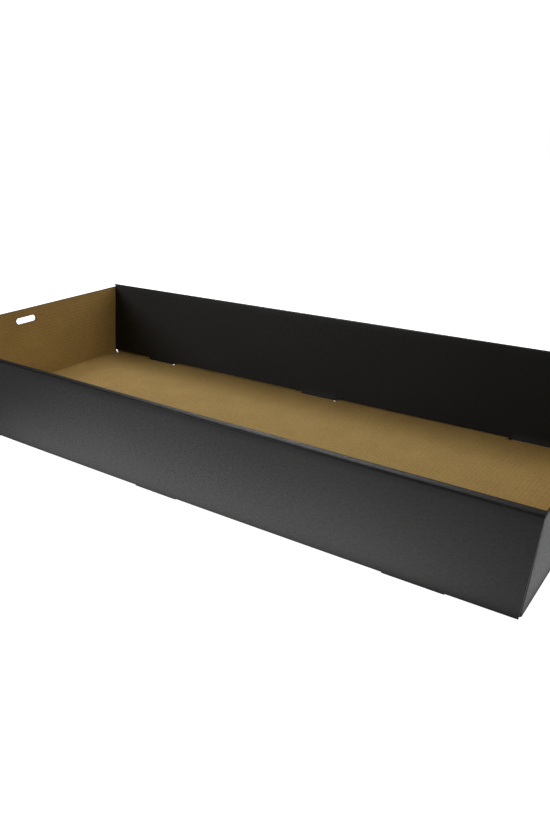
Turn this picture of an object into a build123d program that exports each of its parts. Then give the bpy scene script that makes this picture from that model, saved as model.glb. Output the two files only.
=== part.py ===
from build123d import *

import os
from math import atan, cos, radians, sin, tan

# Open tray folded from one die-cut sheet of fine-fluted corrugated board, in millimetres.
# +X runs along the tray, +Y across it and +Z up, from the middle of its underside.
# Each long wall rolls over the ears of the end walls and locks its tabs into the base.

# Board
board = 1.5
ply_gap = 0.12                      # air between layers that lie against each other
crease_radius = 0.3                 # inner rounding of a fold
fold_radius = board + crease_radius  # outer rounding of the folds round the base
rim_radius = 0.55 * board           # outer rounding of the two pressed folds along a rim
ear_fold_radius = 0.7 * board       # outer rounding of the folds between end walls and ears

# Base, between the outer faces of its folds
base_length = 541.0
base_width = 224.4

# Long walls: sizes along the slope of the outer face, and the lean in degrees from upright
side_slope = 76.0
side_lean = 11.6
rim_ease = 0.6          # looseness of the roll, kept on the ear's inner side
rim_width = 3 * board + 2 * ply_gap + rim_ease
side_setback = 1.0      # how far the foot of a long wall's end is cut back from the end wall

# End walls
end_lean = 7.3
end_rim_gap = 0.2       # between the top edge and the underside of the rims
grip_length = 23.8
grip_height = 6.0
grip_drop = 11.0        # top edge of the end wall to the middle of the grip slot

# Ears, folded from the end walls into the long walls
ear_length = 62.0
ear_top_gap = 1.6       # below the board of the rim
ear_foot_gap = 2.0      # above the base
ear_top_taper = 6.0     # fall of the upper edge over its length
ear_cut_gap = 1.5       # knife gap between the ear's lower edge and the end of the long wall, laid flat
ear_corner = 8.0

# Hems, the inner panels of the long walls
hem_foot_gap = 2.5      # between the base and the free edge
hem_end_gap = 0.6       # between the hem and the end wall
tab_width = 36.0
tab_corner = 1.2
tab_tip = 0.25          # height of the tab ends over the underside
tab_count = 3
tab_margin_left = 56.2  # from the base fold of the left end wall to the first tab
tab_margin_right = 42.4

# Slots in the base for the tabs
slot_end_gap = 1.8
slot_shifts = (1.2, 1.2, -1.2)  # from the middle of each tab to the middle of its slot
slot_face_gap = 0.6

# Fold of an end wall, and the relief holes at its ends
tongue_length = 6.0     # strip of base that belongs to the fold
fold_height = fold_radius + 0.8
fold_inset = 1.0
relief_length = 6.0
relief_inset = 2.6      # from the fold of the end wall to the hole
relief_face_gap = 1.0   # how far the hole shows inside the hem

# Values that follow from the sizes
side_angle = radians(side_lean)
end_angle = radians(end_lean)
ear_depth = board + ply_gap
hem_depth = rim_width - board


def side_point(up, inward):
    """Section point of the near long wall, up the slope and inwards from its outer base fold."""
    y = -base_width / 2 - up * sin(side_angle) + inward * cos(side_angle)
    z = up * cos(side_angle) + inward * sin(side_angle)
    return (y, z)


def end_point(up, inward):
    """Section point of the right end wall, up the slope and inwards from its outer base fold."""
    x = base_length / 2 + up * sin(end_angle) - inward * cos(end_angle)
    z = up * cos(end_angle) + inward * sin(end_angle)
    return (x, z)


def side_up(height, inward):
    """Distance up the slope of a long wall at which that depth of it has this height."""
    return (height - inward * sin(side_angle)) / cos(side_angle)


def side_across(height, inward):
    """Distance across the base from a long fold to that depth of the long wall at this height."""
    return (inward - height * sin(side_angle)) / cos(side_angle)


def end_up(height, inward):
    """Distance up the slope of an end wall at which that depth of it has this height."""
    return (height - inward * sin(end_angle)) / cos(end_angle)


def side_plane(inward, side=-1):
    """Plane in a long wall, facing outwards, with its y axis up the slope."""
    outward = Vector(0, side * cos(side_angle), -sin(side_angle))
    fold = Vector(0, side * base_width / 2, 0)
    return Plane(origin=fold - outward * inward, x_dir=(-side, 0, 0), z_dir=outward)


def end_plane(inward, side=1):
    """Plane in an end wall, facing outwards, with its y axis up the slope."""
    outward = Vector(side * cos(end_angle), 0, -sin(end_angle))
    fold = Vector(side * base_length / 2, 0, 0)
    return Plane(origin=fold - outward * inward, x_dir=(0, side, 0), z_dir=outward)


def side_end_plane(side=1):
    """Plane that ends the long walls: flush with the end wall at the rim and set back at the foot."""
    height = side_point(side_slope, 0)[1]
    foot = base_length / 2 - side_setback / cos(end_angle)
    lean = atan((base_length / 2 + height * tan(end_angle) - foot) / height)
    return Plane(origin=(side * foot, 0, 0), x_dir=(0, side, 0), z_dir=(side * cos(lean), 0, -sin(lean)))


def round_corner(sketch, point, radius):
    """Round the corner of a section that lies nearest to this point."""
    fillet(sketch.vertices().sort_by_distance(point)[0], radius=radius)


end_slope = end_up(side_point(side_slope - board, ear_depth)[1] - end_rim_gap, board)
# Laid flat, the walls of a corner splay towards each other, so an ear is cut back clear of its long wall
side_splay = atan(sin(end_angle) / cos(end_angle) * cos(side_angle))
end_splay = atan(sin(side_angle) / cos(side_angle) * cos(end_angle))
ear_foot_taper = ear_length * tan(2 * side_splay + end_splay) + ear_cut_gap
first_tab = -base_length / 2 + tab_margin_left + tab_width / 2
last_tab = base_length / 2 - tab_margin_right - tab_width / 2
tab_pitch = (last_tab - first_tab) / (tab_count - 1)
tab_centres = [first_tab + n * tab_pitch for n in range(tab_count)]
slot_centres = [centre + shift for centre, shift in zip(tab_centres, slot_shifts)]
slot_length = tab_width + 2 * slot_end_gap
slot_outer = side_across(0, board)
slot_inner = side_across(0, rim_width) + slot_face_gap
relief_inner = side_across(0, rim_width) + relief_face_gap


# Base and the outer panels of both long walls, with their rims, as one folded section
with BuildPart() as base_and_sides:
    with BuildSketch(Plane.YZ) as section:
        with BuildLine():
            Polyline(
                (0, 0),
                side_point(0, 0),
                side_point(side_slope, 0),
                side_point(side_slope, rim_width),
                side_point(side_slope - board, rim_width),
                side_point(side_slope - board, board),
                side_point(side_up(board, board), board),
                (0, board),
                close=True,
            )
        make_face()
        round_corner(section, side_point(0, 0), fold_radius)
        round_corner(section, side_point(side_slope, 0), rim_radius)
        round_corner(section, side_point(side_slope, rim_width), rim_radius)
        round_corner(section, side_point(side_slope - board, board), crease_radius)
        round_corner(section, side_point(side_up(board, board), board), crease_radius)
        mirror(about=Plane.YZ)
    extrude(amount=base_length, both=True)
    for end in (-1, 1):
        split(bisect_by=side_end_plane(end), keep=Keep.BOTTOM)

    # Over a slot the fold is not pressed, so the outer panel ends square on the table
    for centre in slot_centres:
        with BuildSketch(Plane.YZ.offset(centre)):
            with BuildLine():
                Polyline(
                    side_point(0, 0),
                    side_point(2 * fold_radius, 0),
                    side_point(2 * fold_radius, board),
                    (slot_outer - base_width / 2, 0),
                    close=True,
                )
            make_face()
            mirror(about=Plane.YZ)
        extrude(amount=slot_length / 2, both=True)

    # Slots for the tabs
    with BuildSketch():
        for centre in slot_centres:
            with Locations((centre, (slot_outer + slot_inner - base_width) / 2)):
                Rectangle(slot_length, slot_inner - slot_outer)
        mirror(about=Plane.XZ)
    extrude(amount=board, mode=Mode.SUBTRACT)

    # Room for the folds of the end walls
    with BuildSketch():
        with Locations((base_length / 2 - tongue_length, 0)):
            Rectangle(2 * tongue_length, base_width - 2 * slot_outer, align=(Align.MIN, Align.CENTER))
        mirror(about=Plane.YZ)
    extrude(amount=board, mode=Mode.SUBTRACT)


# Hem of the near long wall, hanging from the rim, with its tabs down through the base
with BuildPart() as hem:
    hem_foot = side_up(board + hem_foot_gap, rim_width)
    tab_end = side_up(tab_tip, hem_depth)
    with BuildSketch(side_plane(hem_depth)) as die_line:
        with Locations((0, hem_foot)):
            Rectangle(2 * base_length, side_slope - board - hem_foot, align=(Align.CENTER, Align.MIN))
        for centre in tab_centres:
            with Locations((centre, hem_foot)):
                Rectangle(tab_width, hem_foot - tab_end, align=(Align.CENTER, Align.MAX))
        chamfer(die_line.vertices().group_by(Axis.Y)[0], length=tab_corner)
    extrude(amount=-board)
    for end in (-1, 1):
        split(bisect_by=end_plane(board + hem_end_gap, end), keep=Keep.BOTTOM)


# Near ear of the right end wall, tapered so that it slips between the layers of the long wall
with BuildPart() as ear:
    ear_foot = side_up(board + ear_foot_gap, ear_depth + board)
    ear_top = side_slope - board - ear_top_gap
    root = base_length / 2 - board
    tip = root - ear_length
    reach = base_length / 2 + side_slope
    with BuildSketch(side_plane(ear_depth)) as outline:
        with BuildLine():
            Polyline(
                (reach, ear_foot),
                (reach, ear_top),
                (root, ear_top),
                (tip, ear_top - ear_top_taper),
                (tip, ear_foot + ear_foot_taper),
                (root, ear_foot),
                close=True,
            )
        make_face()
        fillet(outline.vertices().group_by(Axis.X)[0], radius=ear_corner)
    extrude(amount=-board)
    split(bisect_by=end_plane(0), keep=Keep.BOTTOM)


# Right end wall with its fold on the base, its grip slot and both ears
with BuildPart() as end_wall:
    with BuildSketch(end_plane(0)):
        with Locations((0, fold_height)):
            Rectangle(2 * base_width, end_slope - fold_height, align=(Align.CENTER, Align.MIN))
        with Locations((0, end_slope - grip_drop)):
            SlotOverall(grip_length, grip_height, mode=Mode.SUBTRACT)
    extrude(amount=-board)
    for side in (-1, 1):
        split(bisect_by=side_plane(ear_depth, side), keep=Keep.BOTTOM)
    add(ear.part)
    mirror(ear.part, about=Plane.XZ)
    for side in (-1, 1):
        run = side_plane(0, side).z_dir.cross(end_plane(0).z_dir)
        upright = end_wall.edges().filter_by(Axis((0, 0, 0), run)).sort_by(Axis.Y)
        outer, inner = upright[:2] if side < 0 else upright[:-3:-1]
        fillet(outer, radius=ear_fold_radius)
        fillet(inner, radius=crease_radius)

    with BuildSketch(Plane.XZ) as fold:
        with BuildLine():
            Polyline(
                (base_length / 2 - tongue_length, 0),
                end_point(0, 0),
                end_point(fold_height, 0),
                end_point(fold_height, board),
                end_point(end_up(board, board), board),
                (base_length / 2 - tongue_length, board),
                close=True,
            )
        make_face()
        round_corner(fold, end_point(0, 0), fold_radius)
        round_corner(fold, end_point(end_up(board, board), board), crease_radius)
    extrude(amount=base_width / 2 - side_across(0, ear_depth) - fold_inset, both=True)


# The whole sheet, folded and locked
with BuildPart() as tray:
    add(base_and_sides.part)
    add(hem.part)
    mirror(hem.part, about=Plane.XZ)
    add(end_wall.part)
    mirror(end_wall.part, about=Plane.YZ)

    # Relief holes where the folds of the base would meet
    with BuildSketch():
        with Locations((base_length / 2 - relief_inset, base_width / 2 - slot_outer)):
            Rectangle(relief_length, relief_inner - slot_outer, align=(Align.MAX, Align.MAX))
        mirror(about=Plane.XZ)
        mirror(about=Plane.YZ)
    extrude(amount=board, mode=Mode.SUBTRACT)

tray.part.label = "tray"

os.makedirs("parts", exist_ok=True)
export_step(tray.part, "parts/tray.step")
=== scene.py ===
"""Looks of the folded cardboard tray box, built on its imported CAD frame.

The tray is one die-cut sheet of fine-fluted board, printed black on one side and bare kraft on the
other. The sheet is laid out here as a layer of cells, folded panel by panel into the shape of the
CAD part, and given its thickness with a real die-cut edge: two liners and the fluted medium.

Sizes are in millimetres up to the finished mesh, which is in metres in the frame of the CAD part:
+X runs along the tray, +Y across it and +Z up, from the middle of its underside.
"""

import logging
from dataclasses import dataclass, field
from enum import Enum
from math import atan, ceil, cos, hypot, pi, radians, sin, sqrt, tan

import bpy
from mathutils import Matrix, Vector


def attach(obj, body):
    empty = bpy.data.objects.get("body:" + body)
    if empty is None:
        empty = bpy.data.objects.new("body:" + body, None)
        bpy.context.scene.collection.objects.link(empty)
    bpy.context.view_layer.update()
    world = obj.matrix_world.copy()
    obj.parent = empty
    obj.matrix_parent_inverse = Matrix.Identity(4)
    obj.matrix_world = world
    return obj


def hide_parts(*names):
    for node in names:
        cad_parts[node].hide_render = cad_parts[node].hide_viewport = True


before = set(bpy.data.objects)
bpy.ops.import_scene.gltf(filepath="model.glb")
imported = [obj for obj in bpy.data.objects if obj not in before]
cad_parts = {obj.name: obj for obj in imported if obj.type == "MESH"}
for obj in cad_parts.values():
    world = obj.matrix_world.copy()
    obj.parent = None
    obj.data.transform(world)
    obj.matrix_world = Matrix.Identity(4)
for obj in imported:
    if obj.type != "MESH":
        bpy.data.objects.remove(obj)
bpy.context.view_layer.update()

log = logging.getLogger("tray")

Pair = tuple[float, float]
Colour = tuple[float, float, float, float]

MILLIMETRE = 0.001
TOUCH = 0.01                # places nearer than this, in millimetres, are taken as one
ROUNDING = 1e-6             # errors of arithmetic that add no extra step
MERGE_STEPS = 500           # steps to the millimetre on which corners of the sheet are matched
NOISE_SPAN = (0.3, 0.7)     # where nearly all of a noise's values lie
BLANK_MAP = "blank"         # UV map: where each point lies on the flat sheet, in metres
CREASE_MASK = "crease"      # 1 on the bends of the folds
INK_MASK = "inked"          # 1 on the printed side, and where a cut edge is black
CUT_MASK = "cut_line"       # 1 along the cuts
WHITE = (1.0, 1.0, 1.0, 1.0)


class Layer(Enum):
    """Surface of the board, by material slot."""

    PRINTED = 0
    KRAFT = 1
    CUT = 2


class Band(Enum):
    """Strip of the sheet between two stations, from the middle of the base outwards."""

    BASE = "base"
    RELIEF = "relief hole only"
    SLOT = "slots and relief holes"
    SLIT = "slit beside the end fold"
    FOLD = "long fold of the base"
    PANEL = "outer panel"
    RIM = "rim with its two folds"
    HEM = "hem"
    TAB = "locking tabs"


def blend(a: float, b: float, t: float) -> float:
    """Value between a and b at the share t."""
    return a + (b - a) * t


def steps(start: float, stop: float, longest: float) -> list[float]:
    """Evenly spaced values after start up to stop.

    Args:
        start: Value before the first one.
        stop: Last value.
        longest: Longest distance allowed between neighbours.

    Returns:
        The values, without start.
    """
    count = max(1, ceil(abs(stop - start) / longest - ROUNDING))
    return [blend(start, stop, n / count) for n in range(1, count + 1)]


@dataclass(frozen=True)
class Board:
    """Fine-fluted corrugated board."""

    thickness: float = 1.5
    ply_gap: float = 0.12
    crease_radius: float = 0.3
    liner_share: float = 0.14       # the kraft liner's share of the thickness
    pressed_share: float = 0.46     # how far the knife presses the printed liner over the edge
    medium_share: float = 0.11      # the fluted medium's share of the thickness
    flute_pitch: float = 3.2
    flute_step: float = 0.4         # spacing of edge points across the flutes
    pocket_depth: float = 1.1       # how far an opened flute can be seen into
    medium_setback: float = 0.06    # how far the knife leaves the medium behind the liners
    medium_room: float = 0.02       # free height beside the medium, as a share of the thickness
    flute_start: float = 0.9        # turn of the flutes' wave at the middle of the sheet

    def medium_height(self, along: float) -> float:
        """Middle of the medium, as a share of the thickness, at this place across the flutes.

        Args:
            along: Distance across the flutes from the middle of the sheet.

        Returns:
            The height over the printed side.
        """
        low, high = self.pressed_share, 1 - self.liner_share
        room = (high - low - self.medium_share) / 2 - self.medium_room
        turn = 2 * pi * along / self.flute_pitch + self.flute_start
        return (low + high) / 2 + room * sin(turn)


@dataclass(frozen=True)
class TraySizes:
    """Sizes of the folded tray: the CAD part's, but for softer folds and closer relief holes."""

    board: Board = field(default_factory=Board)
    base_length: float = 541.0
    base_width: float = 224.4
    side_slope: float = 76.0
    side_lean: float = radians(11.6)
    end_lean: float = radians(7.3)
    end_rim_gap: float = 0.2
    rim_ease: float = 0.6           # looseness of the roll, kept on the ear's inner side
    rim_round: float = 1.2          # outer rounding of the rim's folds, soft as a pressed score
    rim_crown: float = 0.1
    grip_length: float = 23.8
    grip_height: float = 6.0
    grip_drop: float = 11.0
    ear_length: float = 62.0
    ear_top_gap: float = 1.6
    ear_foot_gap: float = 2.0
    ear_top_taper: float = 6.0
    ear_cut_gap: float = 1.5
    ear_corner: float = 8.0
    ear_fold_radius: float = 1.4    # outer rounding of the folds between end walls and ears
    side_setback: float = 1.0       # how far the foot of a long wall's end is cut back
    hem_foot_gap: float = 2.5
    hem_end_gap: float = 0.6
    tab_width: float = 36.0
    tab_corner: float = 1.2
    tab_tip: float = 0.25
    tab_count: int = 3
    tab_margin_left: float = 56.2
    tab_margin_right: float = 42.4
    slot_end_gap: float = 1.8
    slot_shifts: tuple[float, ...] = (1.2, 1.2, -1.2)   # from a tab's middle to its slot's
    slot_face_gap: float = 0.6
    foot_blend: float = 0.4         # length over which a fold turns into a square foot at a slot
    fold_height: float = 2.6
    strip_half: float = 108.9       # half the width of the fold between base and end wall
    relief_length: float = 4.2      # as short and deep as the light through them shows
    relief_inset: float = 2.6
    relief_face_gap: float = 2.2

    @property
    def half_length(self) -> float:
        """Half the length of the base."""
        return self.base_length / 2

    @property
    def half_width(self) -> float:
        """Half the width of the base."""
        return self.base_width / 2

    @property
    def fold_radius(self) -> float:
        """Outer rounding of the folds round the base."""
        return self.board.thickness + self.board.crease_radius

    @property
    def rim_width(self) -> float:
        """Width of the rim over three layers of board."""
        return 3 * self.board.thickness + 2 * self.board.ply_gap + self.rim_ease

    @property
    def ear_depth(self) -> float:
        """Depth of the ears behind the outer face of a long wall."""
        return self.board.thickness + self.board.ply_gap

    @property
    def hem_depth(self) -> float:
        """Depth of the hem's kraft face behind the outer face of a long wall."""
        return self.rim_width - self.board.thickness

    @property
    def hem_foot(self) -> float:
        """Lower edge of the hem, up the slope."""
        return self.side_up(self.board.thickness + self.hem_foot_gap, self.rim_width)

    @property
    def slot_outer(self) -> float:
        """Distance across the base from the long fold to the outer edge of a slot."""
        return self.board.thickness / cos(self.side_lean)

    @property
    def slot_inner(self) -> float:
        """Distance across the base from the long fold to the inner edge of a slot."""
        return self.rim_width / cos(self.side_lean) + self.slot_face_gap

    @property
    def relief_inner(self) -> float:
        """Distance across the base from the long fold to the inner edge of a relief hole."""
        return self.rim_width / cos(self.side_lean) + self.relief_face_gap

    @property
    def end_slope(self) -> float:
        """Length of an end wall up its slope, just under the rims.

        Returns:
            The length, less its gap to the rims.
        """
        rim_underside = self.side(self.side_slope - self.board.thickness, self.ear_depth)[1]
        thick = self.board.thickness
        return (rim_underside - self.end_rim_gap - thick * sin(self.end_lean)) / cos(self.end_lean)

    @property
    def grip_straight(self) -> float:
        """Half the length of the straight part of the grip slot."""
        return (self.grip_length - self.grip_height) / 2

    @property
    def grip_middle(self) -> float:
        """Middle of the grip slot, up the slope."""
        return self.end_slope - self.grip_drop

    @property
    def ear_foot(self) -> float:
        """Lower edge of an ear at its fold, up the slope."""
        thick = self.board.thickness
        return self.side_up(thick + self.ear_foot_gap, self.ear_depth + thick)

    @property
    def ear_top(self) -> float:
        """Upper edge of an ear at its fold, up the slope."""
        return self.side_slope - self.board.thickness - self.ear_top_gap

    @property
    def side_splay(self) -> float:
        """Angle in the plane of a long wall between its end and a line square to the rim."""
        return atan(tan(self.end_lean) * cos(self.side_lean))

    @property
    def end_splay(self) -> float:
        """Angle in the plane of an end wall between its end and a line square to its top."""
        return atan(tan(self.side_lean) * cos(self.end_lean))

    @property
    def tab_centres(self) -> list[float]:
        """Places of the tabs along the tray.

        Returns:
            The middle of each tab, from left to right.
        """
        first = -self.half_length + self.tab_margin_left + self.tab_width / 2
        last = self.half_length - self.tab_margin_right - self.tab_width / 2
        return [blend(first, last, n / (self.tab_count - 1)) for n in range(self.tab_count)]

    @property
    def slots(self) -> list[Pair]:
        """Both ends of each slot along the tray.

        Returns:
            The start and stop of each, from left to right.
        """
        half = self.tab_width / 2 + self.slot_end_gap
        middles = [centre + shift for centre, shift in zip(self.tab_centres, self.slot_shifts)]
        return [(middle - half, middle + half) for middle in middles]

    @property
    def nicks(self) -> list[Pair]:
        """Both ends of the nick beside each tab, at the end where its slot is longer.

        Returns:
            The start and stop of each, from left to right.
        """
        found = []
        for centre, (start, stop) in zip(self.tab_centres, self.slots):
            left, right = centre - self.tab_width / 2, centre + self.tab_width / 2
            found.append((start, left) if left - start > stop - right else (right, stop))
        return found

    def side(self, up: float, inward: float) -> Pair:
        """Distance from the tray's middle and height of a point in a long wall.

        Args:
            up: Distance up the slope of the outer face.
            inward: Depth behind the outer face.

        Returns:
            The distance across from the middle, and the height.
        """
        lean = self.side_lean
        return (
            self.half_width + up * sin(lean) - inward * cos(lean),
            up * cos(lean) + inward * sin(lean),
        )

    def end(self, up: float, inward: float) -> Pair:
        """Distance from the tray's middle and height of a point in an end wall.

        Args:
            up: Distance up the slope of the outer face.
            inward: Depth behind the outer face.

        Returns:
            The distance along from the middle, and the height.
        """
        lean = self.end_lean
        return (
            self.half_length + up * sin(lean) - inward * cos(lean),
            up * cos(lean) + inward * sin(lean),
        )

    def side_up(self, height: float, inward: float) -> float:
        """Distance up the slope of a long wall at which that depth of it has this height."""
        return (height - inward * sin(self.side_lean)) / cos(self.side_lean)


@dataclass
class Sheet:
    """The folded board as one layer of cells; every corner has a printed and a kraft side."""

    printed: list[Vector] = field(default_factory=list)
    kraft: list[Vector] = field(default_factory=list)
    blank: list[Pair] = field(default_factory=list)
    crease: list[float] = field(default_factory=list)
    cells: list[tuple[int, ...]] = field(default_factory=list)
    places: dict[tuple[int, ...], int] = field(default_factory=dict)

    def corner(self, printed: Vector, kraft: Vector, blank: Pair, crease: float = 0.0) -> int:
        """Corner of the cells at these points, shared with every cell that has it already.

        Args:
            printed: Point on the printed side.
            kraft: Point on the kraft side.
            blank: Place on the flat sheet.
            crease: How strongly the board is bent there.

        Returns:
            The number of the corner.
        """
        key = tuple(round(value * MERGE_STEPS) for value in (*printed, *kraft))
        if key not in self.places:
            self.places[key] = len(self.printed)
            self.printed.append(printed)
            self.kraft.append(kraft)
            self.blank.append(blank)
            self.crease.append(crease)
        return self.places[key]

    def cell(self, corners: list[int]) -> None:
        """Add a cell, turned so that its printed side faces away from its kraft side.

        Args:
            corners: Numbers of its corners, in order round it; one may come twice.
        """
        loop = [c for n, c in enumerate(corners) if c != corners[n - 1]]
        if len(loop) < 3:
            return
        points = [self.printed[c] for c in loop]
        middle = sum(points, Vector()) / len(points)
        normal = Vector()
        for here, there in zip(points, points[1:] + points[:1]):
            normal += (here - middle).cross(there - middle)
        outwards = sum((self.printed[c] - self.kraft[c] for c in loop), Vector())
        self.cells.append(tuple(loop if normal.dot(outwards) > 0 else loop[::-1]))


@dataclass(frozen=True)
class Station:
    """Line of the sheet that runs the whole length of the tray, seen in section."""

    band: Band                      # strip between this station and the one before it
    printed: Pair
    kraft: Pair
    crease: float = 0.0
    foot_printed: Pair | None = None    # the same over a slot, where the fold is a square foot
    foot_kraft: Pair | None = None


@dataclass
class LongPanels:
    """Base, outer panels, rims and hems with their tabs: all that runs the length of the tray."""

    sizes: TraySizes
    cell_length: float = 6.0
    bend_cells: int = 6
    rim_cells: int = 5
    rim_inner_round: float = 0.15
    start_crease: float = 0.2       # how far a rim fold's bend shows at its two sides
    rim_middle_crease: float = 0.15
    slit_crease: float = 0.3

    def base_rows(self) -> list[tuple[float, Band]]:
        """Distances across the base from its middle, with the band that ends at each.

        Returns:
            The rows from the middle of the base to the slits beside the long fold.
        """
        s = self.sizes
        relief = s.half_width - s.relief_inner
        rows = [(y, Band.BASE) for y in EndPanels.grip_columns(s)]
        rows += [(y, Band.BASE) for y in steps(rows[-1][0], relief, self.cell_length)]
        rows.append((s.half_width - s.slot_inner, Band.RELIEF))
        rows.append((s.strip_half, Band.SLOT))
        return rows

    def stations(self) -> list[Station]:
        """All stations from the middle of the base out to the tips of the tabs.

        Returns:
            The stations, each with its band and section.
        """
        thick = self.sizes.board.thickness
        base = [Station(band, (y, 0), (y, thick)) for y, band in self.base_rows()]
        return base + self.fold_stations() + self.wall_stations() + self.hem_stations()

    def fold_stations(self) -> list[Station]:
        """Long fold; over a slot it stays a square foot that stands on the table.

        Returns:
            The stations from the slit at its foot to the start of the wall.
        """
        s, thick = self.sizes, self.sizes.board.thickness
        tangent, foot_end = self.fold_tangent(), s.side_up(0, thick)
        line = s.half_width - s.slot_outer
        rows = [Station(Band.SLIT, (line, 0), (line, thick), self.slit_crease,
                        (s.half_width, 0), s.side(foot_end, thick))]
        centre = s.side(tangent, s.fold_radius)
        for n in range(1, self.bend_cells + 1):
            t = n / self.bend_cells
            angle = blend(-pi / 2, -s.side_lean, t)
            reach = (cos(angle), sin(angle))
            rows.append(Station(
                Band.FOLD,
                (centre[0] + s.fold_radius * reach[0], centre[1] + s.fold_radius * reach[1]),
                tuple(centre[i] + s.board.crease_radius * reach[i] for i in range(2)),
                0.0 if n == self.bend_cells else 1.0,
                s.side(tangent * t, 0),
                s.side(blend(foot_end, tangent, t), thick),
            ))
        return rows

    def fold_tangent(self) -> float:
        """Distance from the corner of a long fold to where its rounding ends."""
        return self.sizes.fold_radius * tan((pi / 2 - self.sizes.side_lean) / 2)

    def wall_stations(self) -> list[Station]:
        """Outer panel, then the rim between its two pressed folds.

        Returns:
            The stations up to the end of the rim's second fold.
        """
        s, thick = self.sizes, self.sizes.board.thickness
        top, soft, tight = s.side_slope, s.rim_round, self.rim_inner_round
        printed_top, kraft_top = top - soft, top - thick - tight
        tangent = self.fold_tangent()
        rows = []
        for t in steps(0, 1, self.cell_length / top):
            rows.append(Station(
                Band.PANEL,
                s.side(blend(tangent, printed_top, t), 0),
                s.side(blend(tangent, kraft_top, t), thick),
            ))
        turns = [pi / 2 * n / self.rim_cells for n in range(self.rim_cells + 1)]
        for turn in turns[1:]:
            rows.append(Station(
                Band.RIM,
                s.side(printed_top + soft * sin(turn), soft * (1 - cos(turn))),
                s.side(kraft_top + tight * sin(turn), thick + tight * (1 - cos(turn))),
                self.start_crease if turn == turns[-1] else 1.0,
            ))
        rows.append(Station(
            Band.RIM,
            s.side(top + s.rim_crown, s.rim_width / 2),
            s.side(top - thick, (thick + s.hem_depth) / 2),
            self.rim_middle_crease,
        ))
        for turn in turns:
            rows.append(Station(
                Band.RIM,
                s.side(printed_top + soft * cos(turn), s.rim_width - soft * (1 - sin(turn))),
                s.side(kraft_top + tight * cos(turn), s.hem_depth - tight * (1 - sin(turn))),
                0.0 if turn == turns[-1] else 1.0 if turn else self.start_crease,
            ))
        return rows

    def hem_stations(self) -> list[Station]:
        """Hem down to its foot, and the tabs below it.

        Returns:
            The stations down to the tips of the tabs.
        """
        s = self.sizes
        printed_top = s.side_slope - s.rim_round
        kraft_top = s.side_slope - s.board.thickness - self.rim_inner_round
        rows = []
        for t in steps(0, 1, self.cell_length / s.side_slope):
            rows.append(Station(
                Band.HEM,
                s.side(blend(printed_top, s.hem_foot, t), s.rim_width),
                s.side(blend(kraft_top, s.hem_foot, t), s.hem_depth),
            ))
        tab_end = s.side_up(s.tab_tip, s.hem_depth)
        for up in (tab_end + s.tab_corner, tab_end):
            rows.append(Station(Band.TAB, s.side(up, s.rim_width), s.side(up, s.hem_depth)))
        return rows

    def columns(self) -> list[float]:
        """Places along the tray of the upright lines between its slanted ends.

        Returns:
            The places from left to right, none further apart than a cell is long.
        """
        s = self.sizes
        marks = set()
        for end in (-1, 1):
            marks.add(end * (s.half_length - s.relief_inset))
            marks.add(end * (s.half_length - s.relief_inset - s.relief_length))
        for centre, (start, stop) in zip(s.tab_centres, s.slots):
            marks.update((start, start + s.foot_blend, stop - s.foot_blend, stop))
            for half in (s.tab_width / 2, s.tab_width / 2 - s.tab_corner):
                marks.update((centre - half, centre + half))
        ordered = sorted(marks)
        filled = ordered[:1]
        for place in ordered[1:]:
            filled += steps(filled[-1], place, self.cell_length)
        return filled

    def along(self, column: int, height: float, fixed: list[float]) -> float:
        """Place along the tray of a column at this height.

        Args:
            column: Number of the column; the first two and the last two follow the end walls.
            height: Height of the point.
            fixed: Places of the upright columns.

        Returns:
            The X place in millimetres.
        """
        s = self.sizes
        last = len(fixed) + 3
        if 2 <= column <= last - 2:
            return fixed[column - 2]
        if column in (0, last):
            inset = s.side_setback * (1 - height / s.side(s.side_slope, 0)[1])
        else:
            inset = s.board.thickness + s.hem_end_gap
        reach = s.half_length + height * tan(s.end_lean) - inset / cos(s.end_lean)
        return reach if column > 2 else -reach

    def present(self, band: Band, left: float, right: float, ends: int) -> bool:
        """Whether the board has this cell.

        Args:
            band: Band that the cell lies in.
            left: Place of its left side on the base.
            right: Place of its right side on the base.
            ends: 0 between the upright columns, 1 up to the end of the hem, 2 past it.

        Returns:
            True where there is board, False where it is cut away.
        """
        s = self.sizes
        middle = (left + right) / 2
        if band in (Band.FOLD, Band.PANEL, Band.RIM):
            return True
        if band is Band.HEM:
            return ends < 2
        if ends:
            return False
        if band is Band.TAB:
            return any(abs(middle - c) < s.tab_width / 2 for c in s.tab_centres)
        if band is Band.BASE:
            return True
        hole_start = s.half_length - s.relief_inset - s.relief_length
        if abs(middle) > hole_start:
            return False
        openings = s.nicks if band is Band.RELIEF else s.slots
        return not any(start < middle < stop for start, stop in openings)

    @staticmethod
    def lengths(stations: list[Station]) -> list[float]:
        """Distance of each station from the middle of the flat sheet.

        Args:
            stations: All stations.

        Returns:
            A distance for each station.
        """
        lengths = [0.0]
        for before, here in zip(stations, stations[1:]):
            gap = [0.5 * (here.printed[i] + here.kraft[i] - before.printed[i] - before.kraft[i])
                   for i in range(2)]
            lengths.append(lengths[-1] + hypot(*gap))
        return lengths

    def section(self, stations: list[Station], row: int, place: float) -> tuple[Pair, Pair, int]:
        """Section of the sheet at one place along a station.

        Args:
            stations: All stations.
            row: Number of the station.
            place: Place along the base.

        Returns:
            The printed and the kraft point, and the number of the station that they are from: at
            the corners of a tab it is the one before.
        """
        s, station = self.sizes, stations[row]
        if station.foot_printed:
            for start, stop in s.slots:
                if start + s.foot_blend - TOUCH < place < stop - s.foot_blend + TOUCH:
                    return station.foot_printed, station.foot_kraft, row
        if row == len(stations) - 1:
            edge = min(abs(abs(place - c) - s.tab_width / 2) for c in s.tab_centres)
            if edge < TOUCH:
                return stations[row - 1].printed, stations[row - 1].kraft, row - 1
        return station.printed, station.kraft, row

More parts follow.
